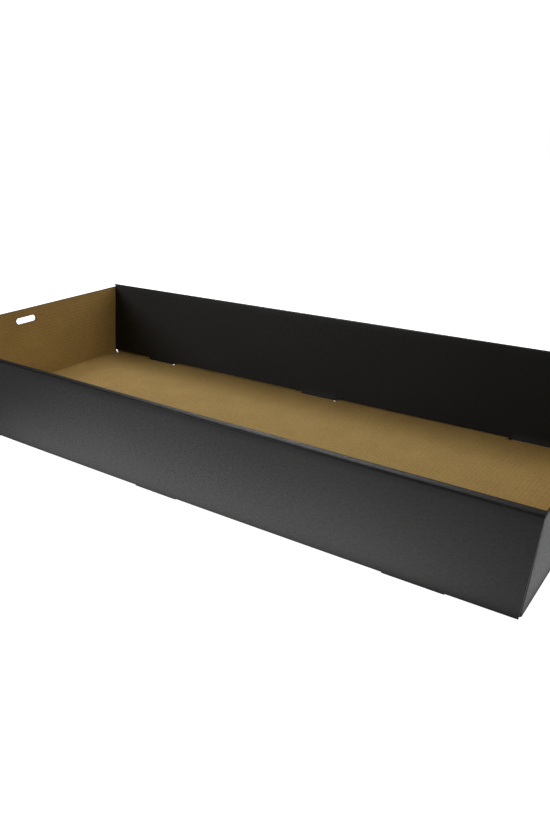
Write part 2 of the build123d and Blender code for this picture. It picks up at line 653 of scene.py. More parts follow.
    def build(self, sheet: Sheet) -> None:
        """Lay the cells of both long sides into the sheet.

        Args:
            sheet: Sheet that takes the cells.
        """
        stations, fixed = self.stations(), self.columns()
        lengths = self.lengths(stations)
        count = len(fixed) + 4
        for side in (-1, 1):
            numbers = []
            for row, station in enumerate(stations):
                line = []
                for column in range(count):
                    if not self.used(stations, row, column, count):
                        line.append(-1)
                        continue
                    place = self.along(column, 0, fixed)
                    printed, kraft, taken = self.section(stations, row, place)
                    line.append(sheet.corner(
                        Vector((self.along(column, printed[1], fixed), side * printed[0],
                                printed[1])),
                        Vector((self.along(column, kraft[1], fixed), side * kraft[0], kraft[1])),
                        (self.along(column, (printed[1] + kraft[1]) / 2, fixed),
                         side * lengths[taken]),
                        station.crease,
                    ))
                numbers.append(line)
            for row in range(1, len(stations)):
                for column in range(count - 1):
                    from_end = min(column, count - 2 - column)
                    left, right = (self.along(c, 0, fixed) for c in (column, column + 1))
                    if self.present(stations[row].band, left, right, max(0, 2 - from_end)):
                        sheet.cell([numbers[row - 1][column], numbers[row - 1][column + 1],
                                    numbers[row][column + 1], numbers[row][column]])

    @staticmethod
    def used(stations: list[Station], row: int, column: int, count: int) -> bool:
        """Whether the sheet has a corner here: past the upright columns only the walls have.

        Args:
            stations: All stations.
            row: Number of the station.
            column: Number of the column.
            count: How many columns there are.

        Returns:
            True where a corner is needed.
        """
        walls = (Band.FOLD, Band.PANEL, Band.RIM, Band.HEM)
        beside = stations[row:row + 2]
        return 2 <= column <= count - 3 or any(station.band in walls for station in beside)


@dataclass(frozen=True)
class EndRow:
    """Line of the sheet that runs across one end, seen in section."""

    printed: Pair
    kraft: Pair
    up: float           # distance up the slope of the end wall
    length: float       # distance from the middle of the flat sheet
    crease: float = 0.0


@dataclass
class EndPanels:
    """One end wall with its fold on the base, its grip slot and both ears."""

    sizes: TraySizes
    end: int
    cell_length: float = 6.0
    top_cell: float = 3.2           # longest cell above the grip slot
    bend_cells: int = 6
    corner_cells: int = 5
    spread_from: float = 88.0       # outside this the columns splay towards the corners
    window_margin: float = 1.9      # board between the grip slot and the cells around it
    window_rows: int = 8
    arc_columns: int = 4
    arc_cell: float = 1.6
    ear_rounds: tuple[float, ...] = (0.72, 0.48, 0.28, 0.13, 0.04, 0.0)     # shares of its corner
    bend_loss: float = 0.4          # what the bend of an ear takes of its length on the blank

    @classmethod
    def grip_columns(cls, sizes: TraySizes) -> list[float]:
        """Distances across from the middle of the columns that frame the grip slot.

        Args:
            sizes: Sizes of the tray.

        Returns:
            The distances: the middle, the straight part and its rounded end.
        """
        straight = sizes.grip_straight
        past = [straight + cls.arc_cell * n for n in range(cls.arc_columns + 1)]
        return [0.0, straight / 2] + past

    def window_half(self) -> float:
        """Half the height of the window that the grip slot is fitted into."""
        return self.sizes.grip_height / 2 + self.window_margin

    def heights(self) -> list[float]:
        """Distances up the slope of the wall's rows above its fold.

        Returns:
            The distances from the fold up to the top edge.
        """
        s = self.sizes
        middle, half = s.grip_middle, self.window_half()
        rows = [s.fold_height]
        rows += steps(s.fold_height, middle - half, self.cell_length)
        rows += [middle - half + 2 * half * (n + 1) / self.window_rows
                 for n in range(self.window_rows)]
        rows += steps(middle + half, s.end_slope, self.top_cell)
        return rows

    def rows(self) -> list[EndRow]:
        """Section of the end, from the base up to its top edge.

        Returns:
            The rows, each with its place on the flat sheet.
        """
        s, thick = self.sizes, self.sizes.board.thickness
        start = s.half_length - s.relief_inset
        tangent = s.fold_radius * tan((pi / 2 - s.end_lean) / 2)
        centre = s.end(tangent, s.fold_radius)
        middle = (s.fold_radius + s.board.crease_radius) / 2
        out = [EndRow((start, 0.0), (start, thick), 0.0, start)]
        for n in range(self.bend_cells + 1):
            angle = blend(-pi / 2, -s.end_lean, n / self.bend_cells)
            reach = (cos(angle), sin(angle))
            out.append(EndRow(
                tuple(centre[i] + s.fold_radius * reach[i] for i in range(2)),
                tuple(centre[i] + s.board.crease_radius * reach[i] for i in range(2)),
                0.0,
                s.half_length - tangent + middle * (angle + pi / 2),
                0.0 if n in (0, self.bend_cells) else 1.0,
            ))
        flat = out[-1].length - tangent
        for up in self.heights():
            out.append(EndRow(s.end(up, 0), s.end(up, thick), up, flat + up))
        return out

    def corner_across(self, height: float, inward: float) -> float:
        """Distance across from the middle to that depth of the long wall at this height."""
        lean = self.sizes.side_lean
        return self.sizes.half_width + height * tan(lean) - inward / cos(lean)

    def ear_spans(self) -> list[tuple[float, float, float]]:
        """Columns of an ear: share of its length, and its lower and upper edge up the slope.

        Returns:
            The columns from the bend of the ear to its tip.
        """
        s = self.sizes
        rise = s.ear_length * tan(2 * s.side_splay + s.end_splay) + s.ear_cut_gap
        radius = s.ear_corner
        distances = steps(0, s.ear_length - radius, self.cell_length)
        distances += [s.ear_length - radius * share for share in self.ear_rounds]
        out = []
        for distance in distances:
            share = distance / s.ear_length
            left = max(0.0, radius - (s.ear_length - distance))
            rounded = radius - sqrt(max(0.0, radius * radius - left * left))
            out.append((share, s.ear_foot + rise * share + rounded,
                        s.ear_top - s.ear_top_taper * share - rounded))
        return out

    def build(self, sheet: Sheet) -> None:
        """Lay the cells of this end into the sheet.

        Args:
            sheet: Sheet that takes the cells.
        """
        across = [y for y, _ in LongPanels(self.sizes).base_rows()]
        rows = self.rows()
        first_wall = len(rows) - len(self.heights())
        grid = [self.lay_row(sheet, row, across, number > first_wall)
                for number, row in enumerate(rows)]
        low, high = self.window(rows)
        grip_last = len(self.grip_columns(self.sizes)) - 1
        for below, above, number in zip(grid, grid[1:], range(1, len(rows))):
            for side in (-1, 1):
                for column in range(1, len(across)):
                    if not (low < number <= high and column <= grip_last):
                        sheet.cell([below[side, column - 1], below[side, column],
                                    above[side, column], above[side, column - 1]])
        self.build_grip(sheet, grid, low, high, rows)
        for side in (-1, 1):
            starts = [line[side, len(across) - 1] for line in grid[first_wall:]]
            self.build_ear(sheet, side, starts, rows[first_wall:])

    def lay_row(
        self, sheet: Sheet, row: EndRow, across: list[float], splayed: bool
    ) -> dict[tuple[int, int], int]:
        """Lay the corners of one row into the sheet.

        Args:
            sheet: Sheet that takes the corners.
            row: Section of the row.
            across: Distances of the columns from the middle of the base.
            splayed: Whether the outer columns splay towards the long walls.

        Returns:
            The number of each corner, by its side and column.
        """
        s, thick = self.sizes, self.sizes.board.thickness
        line = {}
        for side in (-1, 1):
            for column, y in enumerate(across):
                y_printed = y_kraft = y
                if splayed and y > self.spread_from:
                    share = (y - self.spread_from) / (s.strip_half - self.spread_from)
                    corner = self.corner_across(row.printed[1], s.ear_depth) - s.ear_fold_radius
                    y_printed = blend(self.spread_from, corner, share)
                    corner = self.corner_across(row.kraft[1], s.ear_depth + thick)
                    corner -= s.board.crease_radius
                    y_kraft = blend(self.spread_from, corner, share)
                line[side, column] = sheet.corner(
                    Vector((self.end * row.printed[0], side * y_printed, row.printed[1])),
                    Vector((self.end * row.kraft[0], side * y_kraft, row.kraft[1])),
                    (self.end * row.length, side * (y_printed + y_kraft) / 2),
                    row.crease,
                )
        return line

    def window(self, rows: list[EndRow]) -> tuple[int, int]:
        """Numbers of the lowest and highest row around the grip slot.

        Args:
            rows: Section of the end.

        Returns:
            The number below the slot and the number above it.
        """
        middle, half = self.sizes.grip_middle, self.window_half()
        low = min(range(len(rows)), key=lambda n: abs(rows[n].up - middle + half))
        return low, low + self.window_rows

    def build_grip(
        self, sheet: Sheet, grid: list[dict[tuple[int, int], int]], low: int, high: int,
        rows: list[EndRow],
    ) -> None:
        """Fit the rounded grip slot into its window with a ring of cells.

        Args:
            sheet: Sheet that takes the cells.
            grid: Corners of the wall, row by row.
            low: Row below the slot.
            high: Row above the slot.
            rows: Section of the end.
        """
        s, thick = self.sizes, self.sizes.board.thickness
        columns = self.grip_columns(s)
        last = len(columns) - 1
        radius = s.grip_height / 2
        flat = rows[-1].length - rows[-1].up

        def on_arc(side: int, upper: int, turn: float) -> Pair:
            """Point of the slot's rounded end, by its angle from the top or the bottom."""
            return (side * (s.grip_straight + radius * sin(turn)),
                    s.grip_middle + upper * radius * cos(turn))

        outer, inner = [], []
        for upper, row in ((1, high), (-1, low)):
            edge = [(-1, c) for c in range(last, 0, -1)] + [(1, c) for c in range(last + 1)]
            for side, column in edge[::upper]:
                outer.append(grid[row][side, column])
                turn = (column - 2) * pi / 4 / self.arc_columns
                straight = (side * columns[column], s.grip_middle + upper * radius)
                inner.append(straight if turn <= 0 else on_arc(side, upper, turn))
            for n in range(1, self.window_rows):
                outer.append(grid[row - upper * n][upper, last])
                inner.append(on_arc(upper, upper, pi / 4 + pi / 2 * n / self.window_rows))
        ring = []
        for y, up in inner:
            printed, kraft = s.end(up, 0), s.end(up, thick)
            ring.append(sheet.corner(
                Vector((self.end * printed[0], y, printed[1])),
                Vector((self.end * kraft[0], y, kraft[1])),
                (self.end * (flat + up), y),
            ))
        for n in range(len(outer)):
            after = (n + 1) % len(outer)
            sheet.cell([outer[n], outer[after], ring[after], ring[n]])

    def on_ear(self, side: int, x: float, slope: float, inward: float) -> Vector:
        """Point of an ear at this place along the tray, up the slope and into the long wall."""
        y, z = self.sizes.side(slope, inward)
        return Vector((self.end * x, side * y, z))

    def ear_on_blank(self, side: int, x: float, slope: float) -> Pair:
        """Place on the flat sheet of a point of an ear.

        Args:
            side: Sign of the long wall that the ear goes into.
            x: Distance along the tray from its middle.
            slope: Distance up the slope of the long wall.

        Returns:
            The place, with the ear turned back beside its end wall.
        """
        s = self.sizes
        out = x - s.half_length
        a = out * sin(s.side_splay) + slope * cos(s.side_splay)
        b = -out * cos(s.side_splay) + slope * sin(s.side_splay)
        corner = s.half_width - s.ear_depth / cos(s.side_lean)
        return (self.end * (s.half_length + a * cos(s.end_splay) - b * sin(s.end_splay)),
                side * (corner + a * sin(s.end_splay) + b * cos(s.end_splay)))

    def ear_bend(
        self, side: int, row: EndRow, slope: float, start: tuple[Vector, Vector]
    ) -> list[tuple[Vector, Vector, Vector]]:
        """Curves of the bend between the wall and an ear, on both sides of the board.

        Args:
            side: Sign of the long wall that the ear goes into.
            row: Section of the end wall here.
            slope: Height of the ear here, up the slope of the long wall.
            start: Printed and kraft point of the wall where the bend begins.

        Returns:
            The start, corner and finish of the printed and of the kraft curve.
        """
        s, thick = self.sizes, self.sizes.board.thickness
        curves = []
        for begin, wall, depth, radius, layer in (
            (start[0], row.printed, s.ear_depth, s.ear_fold_radius, 0.0),
            (start[1], row.kraft, s.ear_depth + thick, s.board.crease_radius, thick),
        ):
            y, z = s.side(slope, depth)
            reach = s.half_length + z * tan(s.end_lean)
            reach -= layer / cos(s.end_lean)
            corner = Vector((self.end * reach, side * self.corner_across(wall[1], depth),
                             (wall[1] + z) / 2))
            curves.append((begin, corner, Vector((self.end * (reach - radius), side * y, z))))
        return curves

    def build_ear(
        self, sheet: Sheet, side: int, starts: list[int], rows: list[EndRow]
    ) -> None:
        """Fold an ear from one end of the wall into the long wall.

        Args:
            sheet: Sheet that takes the cells.
            side: Sign of the long wall that the ear goes into.
            starts: Corners of the sheet where the bend begins, from the foot up.
            rows: Section of the end above its fold.
        """
        s, thick = self.sizes, self.sizes.board.thickness
        spans = self.ear_spans()
        tip = s.half_length - thick - s.ear_length
        lowest, highest = rows[0].up, rows[-1].up
        before: list[int] = []
        for row, start in zip(rows, starts):
            share = (row.up - lowest) / (highest - lowest)
            slope = blend(s.ear_foot, s.ear_top, share)
            curves = self.ear_bend(side, row, slope, (sheet.printed[start], sheet.kraft[start]))
            begin = [abs(finish.x) for _, _, finish in curves]
            blank_start = sheet.blank[start]
            blank_end = self.ear_on_blank(side, begin[0] - self.bend_loss, slope)
            line = [start]
            for n in range(1, self.corner_cells + 1):
                t = n / self.corner_cells
                bent = [a * (1 - t) ** 2 + b * 2 * t * (1 - t) + c * t * t for a, b, c in curves]
                place = tuple(blend(a, b, t) for a, b in zip(blank_start, blank_end))
                crease = 0.0 if n == self.corner_cells else 1.0
                line.append(sheet.corner(bent[0], bent[1], place, crease))
            for portion, lower, upper in spans:
                slope = blend(lower, upper, share)
                x = [blend(b, tip, portion) for b in begin]
                line.append(sheet.corner(
                    self.on_ear(side, x[0], slope, s.ear_depth),
                    self.on_ear(side, x[1], slope, s.ear_depth + thick),
                    self.ear_on_blank(side, (x[0] + x[1]) / 2, slope),
                ))
            if before:
                for n in range(1, len(line)):
                    sheet.cell([before[n - 1], before[n], line[n], line[n - 1]])
            before = line


@dataclass
class CutEdges:
    """Die-cut edge all round the sheet and its holes, with both liners and the opened flutes."""

    sheet: Sheet
    sizes: TraySizes
    points: list[Vector] = field(default_factory=list)
    blank: list[Pair] = field(default_factory=list)
    inked: list[float] = field(default_factory=list)
    faces: list[tuple[int, ...]] = field(default_factory=list)
    rim: set[int] = field(default_factory=set)
    # The pressed liner's way round the edge, in shares of its reach and of the knife's setback
    pressed_curve: tuple[Pair, ...] = ((0.35, 0.2), (0.75, 1.0), (1.0, 3.0))
    black_from: float = -4.0        # blackened ends of the long walls: from here past the base
    black_past: float = 1.0         # to here past the rim, and no nearer to the base than this
    least_turn: float = 0.6         # keeps the inward step at a sharp corner short

    def outline(self) -> list[tuple[int, int, Vector]]:
        """Free sides of the cells.

        Returns:
            For each side its two corners, in the order of its cell, and the way into the board.
        """
        owner = {}
        for cell in self.sheet.cells:
            for here, there in zip(cell, cell[1:] + cell[:1]):
                owner[here, there] = cell
        out = []
        for (here, there), cell in owner.items():
            if (there, here) in owner:
                continue
            ends = [(self.sheet.printed[c] + self.sheet.kraft[c]) / 2 for c in (here, there)]
            middle = sum(((self.sheet.printed[c] + self.sheet.kraft[c]) / 2 for c in cell),
                         Vector()) / len(cell)
            run = (ends[1] - ends[0]).normalized()
            through = sum((self.sheet.printed[c] - self.sheet.kraft[c] for c in (here, there)),
                          Vector())
            through = (through - run * through.dot(run)).normalized()
            way = middle - (ends[0] + ends[1]) / 2
            way -= run * way.dot(run) + through * way.dot(through)
            out.append((here, there, way.normalized()))
        return out

    def on_wall_end(self, place: Pair) -> bool:
        """Whether a place on the blank is at the end of a long wall, where the edge is black.

        Args:
            place: Place on the flat sheet.

        Returns:
            True at the ends of the long walls.
        """
        s = self.sizes
        past = abs(place[0]) - s.half_length
        reach = s.side_slope * tan(s.end_lean) + self.black_past
        beside_base = abs(place[1]) > s.half_width + self.black_past
        return beside_base and self.black_from < past < reach

    def profile(self, here: int, there: int, t: float, inward: Vector) -> list[int]:
        """Points across the thickness at one place of the outline.

        The printed liner is pressed round over the flutes, and the kraft liner ends in a clean cut.

        Args:
            here: First corner of the side.
            there: Second corner of the side.
            t: Share of the way between them.
            inward: Way into the board.

        Returns:
            Numbers of the new points, from the printed liner to the kraft liner.
        """
        board, sheet = self.sizes.board, self.sheet
        printed = sheet.printed[here].lerp(sheet.printed[there], t)
        kraft = sheet.kraft[here].lerp(sheet.kraft[there], t)
        place = tuple(blend(a, b, t) for a, b in zip(sheet.blank[here], sheet.blank[there]))
        middle, half = board.medium_height(place[0]), board.medium_share / 2
        deep, shallow, pressed = board.pocket_depth, board.medium_setback, board.pressed_share
        kraft_liner = 1 - board.liner_share
        wall_end = self.on_wall_end(place)
        steps_across = [(pressed * share, shallow * lip) for share, lip in self.pressed_curve]
        steps_across += [
            (pressed, deep), (middle - half, deep), (middle - half, shallow),
            (middle + half, shallow), (middle + half, deep), (kraft_liner, deep),
            (kraft_liner, 0.0),
        ]
        numbers = []
        for share, depth in steps_across:
            numbers.append(len(self.points))
            inked = wall_end or (share <= pressed and depth < deep)
            self.inked.append(1.0 if inked else 0.0)
            self.points.append(printed.lerp(kraft, share) + inward * depth)
            self.blank.append(place)
        return numbers

    def build(self, first: int, kraft_from: int) -> None:
        """Make the edge faces.

        Args:
            first: Number in the mesh of the first edge point.
            kraft_from: Number in the mesh of the first corner on the kraft side.
        """
        sides = self.outline()
        ways: dict[int, list[Vector]] = {}
        for here, there, way in sides:
            ways.setdefault(here, []).append(way)
            ways.setdefault(there, []).append(way)
        inward = {}
        for corner, found in ways.items():
            total = sum(found, Vector())
            spread = 1 + found[0].dot(found[-1])
            spread = max(spread, self.least_turn) if len(found) == 2 else len(found)
            inward[corner] = total / spread
        self.rim = set(inward)
        at_corner: dict[int, list[int]] = {}
        for corner in inward:
            at_corner[corner] = self.profile(corner, corner, 0.0, inward[corner])
        for here, there, _ in sides:
            run = abs(self.sheet.blank[there][0] - self.sheet.blank[here][0])
            count = max(1, ceil(run / self.sizes.board.flute_step))
            lines = [at_corner[here]]
            for n in range(1, count):
                t = n / count
                lines.append(self.profile(here, there, t, inward[here].lerp(inward[there], t)))
            lines.append(at_corner[there])
            lines = [[first + number for number in line] for line in lines]
            self.faces.append((there, here, *(line[0] for line in lines)))
            for left, right in zip(lines, lines[1:]):
                for k in range(len(left) - 1):
                    self.faces.append((right[k], left[k], left[k + 1], right[k + 1]))
            self.faces.append((*(line[-1] for line in reversed(lines)),
                               here + kraft_from, there + kraft_from))


@dataclass(frozen=True)
class Handling:
    """Small departures from true that a folded sheet takes up, in millimetres."""

    rim_height: float = 75.0
    half_length: float = 280.0
    half_width: float = 127.0
    near_lean: Pair = (-5.3, 1.4)   # outwards at the rim, at the left and the right end
    near_bow: float = -0.9          # outwards at the middle of the rim
    near_foot_bow: float = 2.4      # outwards at the middle of the foot
    far_lean: Pair = (2.6, 0.1)
    far_bow: float = 1.4
    far_foot_bow: float = -1.0
    left_end_lean: float = -1.6     # the left end wall stands more upright
    end_bow: float = 0.5
    end_zone: float = 0.9           # share of the length from which the end walls' lean grows
    end_growth: float = 10.0        # how fast, so that it is full at the ends
    stiff_share: float = 0.8        # share of the width within which the walls' lean fades
    side_slant: float = 0.205       # tangent of the lean of the long walls
    wave: float = 0.12
    wave_growth: float = 3.0        # how fast it grows above the foot
    long_wave: Pair = (9.1, 0.6)    # turn along the half length, and its start
    short_wave: Pair = (17.3, 2.0)
    short_share: float = 0.7
    short_twist: float = 1.5        # how far the short wave turns from foot to rim
    base_rise: float = 0.45         # the base lifts a little off the table in its middle
    base_reach: Pair = (264.0, 104.0)
    base_top: Pair = (2.0, 4.0)     # the rise ends over this height, and fades within this much
    swell: float = 0.3
    swell_turns: Pair = (7.0, 3.0)
    corner_rise: float = 2.15       # and under the hem at its far right corner
    corner_top: Pair = (1.6, 2.4)
    corner_end: Pair = (268.0, 12.0)
    hem_line: float = 108.5
    hem_approach: Pair = (0.45, 0.5)    # shares of the hem's distance: where it starts, how long
    hem_fade: float = 3.0

    def moved(self, point: Vector) -> Vector:
        """Where a point of the true shape lies on the used tray.

        Args:
            point: Point of the true shape, in millimetres.

        Returns:
            The point of the used tray.
        """
        along, across = point.x / self.half_length, point.y / self.half_width
        up = max(0.0, point.z / self.rim_height)
        lean, foot = self.wall_lean(point.y < 0, along, abs(across), up)
        end_out = self.end_bow * max(0.0, 1 - across * across)
        if point.x < 0:
            end_out += self.left_end_lean
        end_out *= up * max(0.0, abs(along) - self.end_zone) * self.end_growth
        rise = self.base_lift(point, along, across)
        rise += self.corner_rise * ((1 + along) / 2) * self.under_hem(point)
        return Vector((
            point.x + (end_out if point.x > 0 else -end_out),
            point.y + (1 if point.y > 0 else -1) * (lean + foot),
            point.z - self.side_slant * lean * up + rise,
        ))

    def wall_lean(self, near: bool, along: float, across: float, up: float) -> Pair:
        """How far a long wall leans and its foot bows, outwards.

        Args:
            near: Whether it is the near wall.
            along: Share of the half length, with its sign.
            across: Share of the half width.
            up: Share of the height.

        Returns:
            The lean at this height, and the bow of the foot.
        """
        at_ends = self.near_lean if near else self.far_lean
        bow = self.near_bow if near else self.far_bow
        foot = self.near_foot_bow if near else self.far_foot_bow
        arch = max(0.0, 1 - along * along)
        ripple = sin(along * self.long_wave[0] + self.long_wave[1])
        turn = along * self.short_wave[0] + self.short_wave[1] + self.short_twist * up
        ripple = ripple + self.short_share * sin(turn)
        lean = at_ends[0] * ((1 - along) / 2) + at_ends[1] * ((1 + along) / 2) + bow * arch
        weight = min(1.0, across / self.stiff_share)
        lean = (lean * up + self.wave * ripple * min(1.0, self.wave_growth * up)) * weight
        return lean, foot * arch * weight

    def base_lift(self, point: Vector, along: float, across: float) -> float:
        """How far a point of the base lifts off the table.

        Args:
            point: Place on the true shape.
            along: Share of the half length, with its sign.
            across: Share of the half width, with its sign.

        Returns:
            The lift, most in the middle of the base and none in the walls.
        """
        flat = max(0.0, 1 - (point.y / self.base_reach[1]) ** 2)
        flat *= max(0.0, 1 - (point.x / self.base_reach[0]) ** 2)
        above = min(1.0, max(0.0, point.z - self.base_top[0]) / self.base_top[1])
        swell = sin(along * self.swell_turns[0] + across * self.swell_turns[1])
        return self.base_rise * flat * (1 - above) * (1 + self.swell * swell)

    def under_hem(self, point: Vector) -> float:
        """How much of the rise under the far hem a point takes: all of it in the base, none above.

        Args:
            point: Place on the true shape.

        Returns:
            A share from 0 to 1.
        """
        start, length = self.hem_approach
        reach = (point.y - start * self.hem_line) / (length * self.hem_line)
        before_wall = (self.hem_line + self.hem_fade - point.y) / self.hem_fade
        reach = max(0.0, min(1.0, reach, before_wall))
        reach *= reach * (3 - 2 * reach)
        end, fade = self.corner_end
        beside_end = max(0.0, min(1.0, (end - abs(point.x)) / fade))
        top, fade = self.corner_top
        low = 1 - max(0.0, min(1.0, (point.z - top) / fade))
        return reach * beside_end * low


@dataclass
class FoldedTray:
    """The whole tray: one sheet, folded and locked, as one closed mesh."""

    sizes: TraySizes = field(default_factory=TraySizes)
    handling: Handling = field(default_factory=Handling)
    name: str = "folded_sheet"

    def fold(self) -> Sheet:
        """The sheet with all its panels folded.

        Returns:
            The cells of all panels, before they get their thickness.
        """
        sheet = Sheet()
        LongPanels(self.sizes).build(sheet)
        for end in (-1, 1):
            EndPanels(self.sizes, end).build(sheet)
        return sheet

    def build(self, finishes: list[bpy.types.Material]) -> bpy.types.Object:
        """Make the tray's object.

        Args:
            finishes: Materials of the printed side, the kraft side and the cut edges.

        Returns:
            The object, riding on the tray's body and standing for its CAD node.
        """
        sheet = self.fold()
        count = len(sheet.printed)
        edges = CutEdges(sheet, self.sizes)
        edges.build(2 * count, count)
        points = sheet.printed + sheet.kraft + edges.points
        blank = 2 * sheet.blank + edges.blank
        on_cut = [1.0 if corner in edges.rim else 0.0 for corner in range(count)]
        masks = {
            CREASE_MASK: 2 * sheet.crease + [0.0] * len(edges.points),
            INK_MASK: [1.0] * count + [0.0] * count + edges.inked,
            CUT_MASK: 2 * on_cut + [1.0] * len(edges.points),
        }
        kraft_cells = [tuple(count + c for c in reversed(cell)) for cell in sheet.cells]
        faces = sheet.cells + kraft_cells + edges.faces
        layers = [Layer.PRINTED] * len(sheet.cells) + [Layer.KRAFT] * len(kraft_cells)
        layers += [Layer.CUT] * len(edges.faces)

        mesh = bpy.data.meshes.new(self.name)
        placed = [self.handling.moved(point) * MILLIMETRE for point in points]
        mesh.from_pydata(placed, [], faces)
        for finish in finishes:
            mesh.materials.append(finish)
        mesh.polygons.foreach_set("material_index", [layer.value for layer in layers])
        mesh.polygons.foreach_set("use_smooth", [layer is not Layer.CUT for layer in layers])
        uv = mesh.uv_layers.new(name=BLANK_MAP)
        for loop in mesh.loops:
            place = blank[loop.vertex_index]
            uv.uv[loop.index].vector = (place[0] * MILLIMETRE, place[1] * MILLIMETRE)
        for name, values in masks.items():
            mesh.attributes.new(name, "FLOAT", "POINT").data.foreach_set("value", values)
        self.sharpen(mesh)
        mesh.validate()

        tray = bpy.data.objects.new(self.name, mesh)
        bpy.context.scene.collection.objects.link(tray)
        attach(tray, "root")
        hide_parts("tray")
        log.info("%s: %d corners, %d faces", self.name, len(points), len(faces))
        return tray

    @staticmethod
    def sharpen(mesh: bpy.types.Mesh) -> None:
        """Keep a hard edge wherever two finishes meet.

        Args:
            mesh: The mesh, with its materials in place.
        """
        seen: dict[int, int] = {}
        sharp = [False] * len(mesh.edges)
        for face in mesh.polygons:
            for loop in face.loop_indices:
                edge = mesh.loops[loop].edge_index
                if seen.setdefault(edge, face.material_index) != face.material_index:
                    sharp[edge] = True
        attribute = mesh.attributes.new("sharp_edge", "BOOLEAN", "EDGE")
        attribute.data.foreach_set("value", sharp)


class Graph:
    """Shader nodes of one material or node group."""

    def __init__(self, tree: bpy.types.NodeTree) -> None:
        """Start on this node tree."""
        self.tree = tree

    def feed(self, node: bpy.types.Node, inputs: dict) -> bpy.types.Node:
        """Set inputs of a node.

        Args:
            node: The node.
            inputs: Values or sockets for its inputs, by name or number.

        Returns:
            The same node.
        """
        for name, value in inputs.items():
            if isinstance(value, bpy.types.NodeSocket):
                self.tree.links.new(value, node.inputs[name])
            else:
                node.inputs[name].default_value = value
        return node

    def add(self, kind: str, inputs: dict | None = None, **settings) -> bpy.types.Node:
        """Add a node.

        Args:
            kind: Type of the node, without its "ShaderNode" prefix.
            inputs: Values or sockets for its inputs, by name or number.
            settings: Properties of the node.

        Returns:
            The node.
        """
        node = self.tree.nodes.new(kind if kind.startswith("Node") else "ShaderNode" + kind)
        for name, value in settings.items():
            setattr(node, name, value)
        return self.feed(node, inputs or {})

    def group(self, kind: type["EffectGroup"], inputs: dict) -> bpy.types.NodeInputs:
        """Place a shared effect with its own values.

        Args:
            kind: The effect.
            inputs: Values or sockets for its inputs, by name.

        Returns:
            The outputs of the effect.
        """
        node = self.add("Group")
        node.node_tree = kind.tree()
        return self.feed(node, inputs).outputs

    def blank_place(self) -> bpy.types.NodeSocket:
        """Place on the flat sheet, in metres."""
        return self.add("UVMap", uv_map=BLANK_MAP).outputs["UV"]

    def mask(self, name: str) -> bpy.types.NodeSocket:
        """Mask that is stored on the mesh under this name."""
        return self.add("Attribute", attribute_name=name).outputs["Fac"]

    def math(self, operation: str, *values: float | bpy.types.NodeSocket) -> bpy.types.NodeSocket:
        """Result of a math node with these values."""
        return self.add("Math", dict(enumerate(values)), operation=operation).outputs[0]

    def vector(self, operation: str, *values: tuple | bpy.types.NodeSocket) -> bpy.types.NodeSocket:
        """Result of a vector math node with these values."""
        return self.add("VectorMath", dict(enumerate(values)), operation=operation).outputs[0]

    def noise(self, place: bpy.types.NodeSocket, scale: float | bpy.types.NodeSocket,
              detail: float, roughness: float = 0.5, flat: bool = False) -> bpy.types.NodeSocket:
        """Cloudy noise.

        Args:
            place: Where the noise is read.
            scale: Its scale.
            detail: How many finer layers it has.
            roughness: How strong the finer layers are.
            flat: Whether it has two dimensions.

        Returns:
            The noise, from 0 to 1.
        """
        inputs = {"Vector": place, "Scale": scale, "Detail": detail, "Roughness": roughness}
        dimensions = "2D" if flat else "3D"
        return self.add("TexNoise", inputs, noise_dimensions=dimensions).outputs["Fac"]

    def ramp(self, value: bpy.types.NodeSocket, low: float, high: float,
             to_low: float = 0.0, to_high: float = 1.0) -> bpy.types.NodeSocket:
        """Value mapped from low..high to to_low..to_high, held at both ends.

        Args:
            value: Value to map.
            low: Value that gives to_low.
            high: Value that gives to_high.
            to_low: Result at and below low.
            to_high: Result at and above high.

        Returns:
            The mapped value.
        """
        node = self.add("MapRange", {"Value": value, "From Min": low, "From Max": high,
                                     "To Min": to_low, "To Max": to_high})
        return node.outputs["Result"]

    def mix(self, share: float | bpy.types.NodeSocket, a: Colour | bpy.types.NodeSocket,
            b: Colour | bpy.types.NodeSocket) -> bpy.types.NodeSocket:
        """Colour between a and b at this share."""
        return self.add("Mix", {0: share, 6: a, 7: b}, data_type="RGBA").outputs[2]

    def bump(self, depth: float, height: bpy.types.NodeSocket,
             normal: bpy.types.NodeSocket | None = None) -> bpy.types.NodeSocket:
        """Normal of a surface with a fine relief.

        Args:
            depth: Depth of the relief in metres.
            height: Height of the surface, as a share of the depth.
            normal: Normal that the relief is laid on, if not the surface's own.

        Returns:
            The normal.
        """
        inputs = {"Strength": 1.0, "Distance": depth, "Height": height}
        if normal:
            inputs["Normal"] = normal
        return self.add("Bump", inputs).outputs[0]


class EffectGroup:
    """Shader node group for an effect that several finishes share."""

    name = "effect"
    inputs: dict[str, float] = {}
    outputs: tuple[str, ...] = ()

    @classmethod
    def tree(cls) -> bpy.types.NodeTree:
        """The node group, made on first use.

        Returns:
            The node group.
        """
        found = bpy.data.node_groups.get(cls.name)
        if found:
            return found
        tree = bpy.data.node_groups.new(cls.name, "ShaderNodeTree")
        for name, value in cls.inputs.items():
            socket = tree.interface.new_socket(name, in_out="INPUT", socket_type="NodeSocketFloat")
            socket.default_value = value
        for name in cls.outputs:
            tree.interface.new_socket(name, in_out="OUTPUT", socket_type="NodeSocketFloat")
        graph = Graph(tree)
        source, sink = graph.add("NodeGroupInput"), graph.add("NodeGroupOutput")
        for name, socket in cls.nodes(graph, source).items():
            tree.links.new(socket, sink.inputs[name])
        return tree

    @classmethod
    def nodes(cls, graph: Graph, source: bpy.types.Node) -> dict[str, bpy.types.NodeSocket]:
        """Nodes of the effect, by the output that each feeds."""
        raise NotImplementedError


